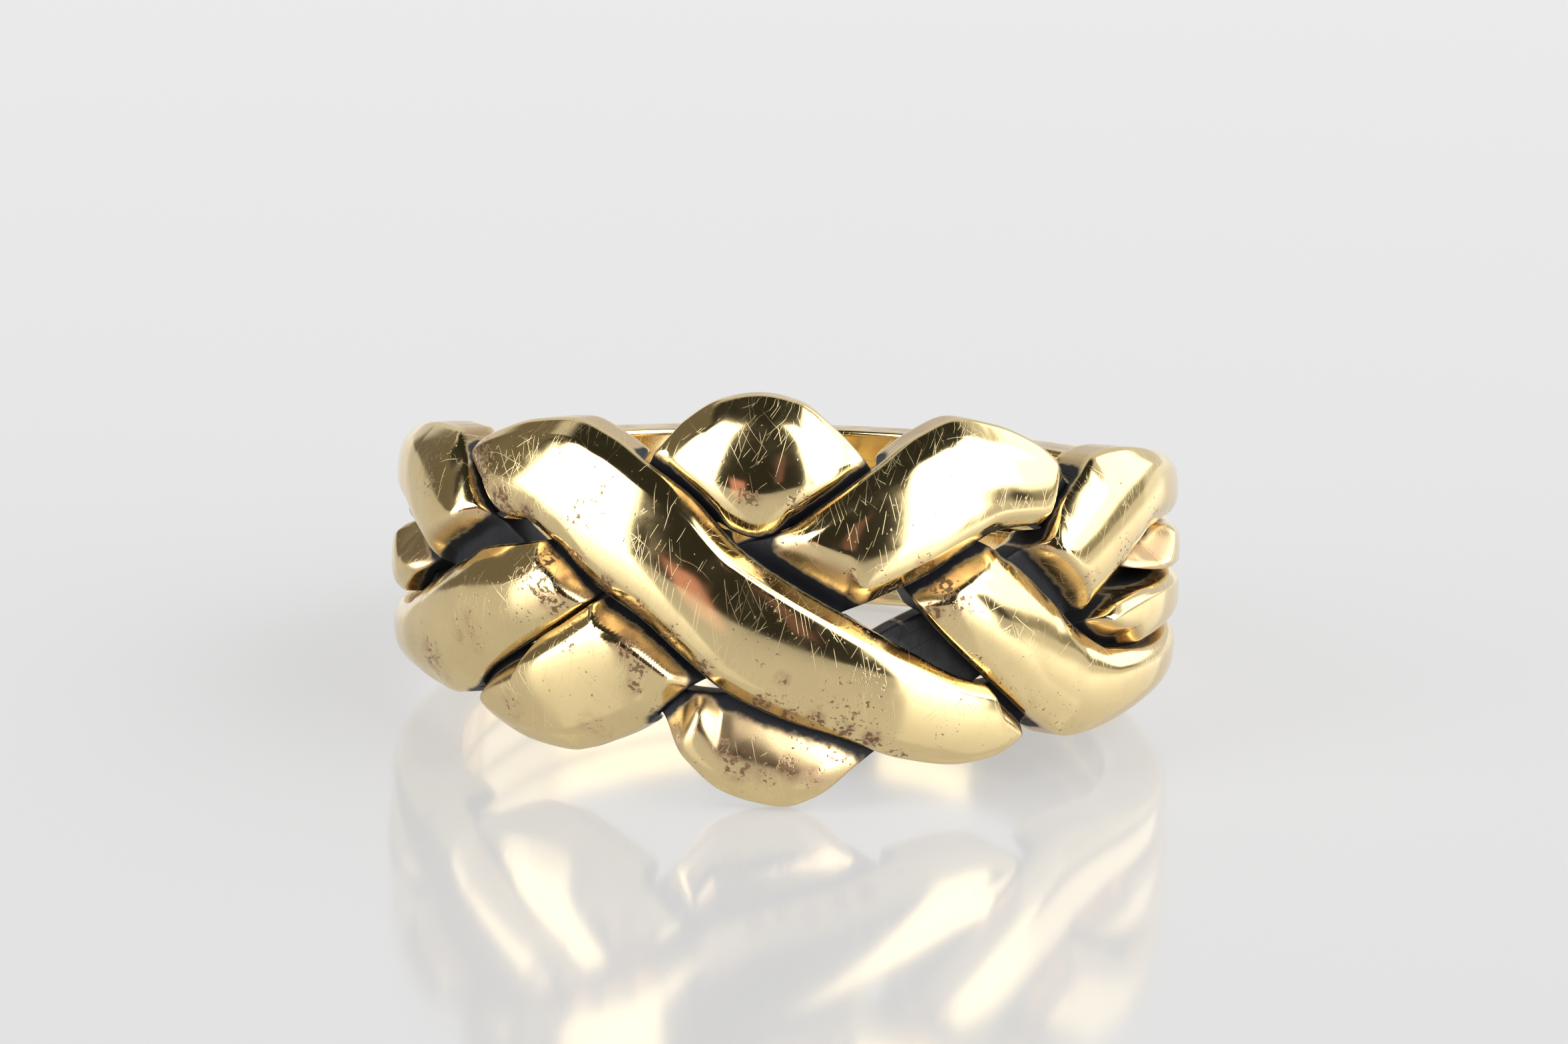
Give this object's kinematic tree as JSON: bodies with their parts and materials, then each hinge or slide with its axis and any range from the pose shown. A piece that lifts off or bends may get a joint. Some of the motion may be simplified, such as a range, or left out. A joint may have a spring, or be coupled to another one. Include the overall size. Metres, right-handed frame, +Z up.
{
  "type": "puzzle ring",
  "caption": "Puzzle ring in worn pale yellow gold: loose closed bands woven over and under each other across the front, side by side round the back of the finger",
  "frame": {"origin": "middle of the ground under the ring's box, as the ring lies on its side", "axes": "+Z up from the ground, the finger's axis leaning 9 degrees back from it, the woven front towards -Y, +X to the right of someone looking at that front"},
  "size_m": [0.0212, 0.0212, 0.0107],
  "materials": {
    "gold": "polished"
  },
  "bodies": {
    "root": {"long_diagonal_band": "gold", "arch_band": "gold", "crossing_band": "gold", "cradle_band": "gold"}
  },
  "joints": []
}
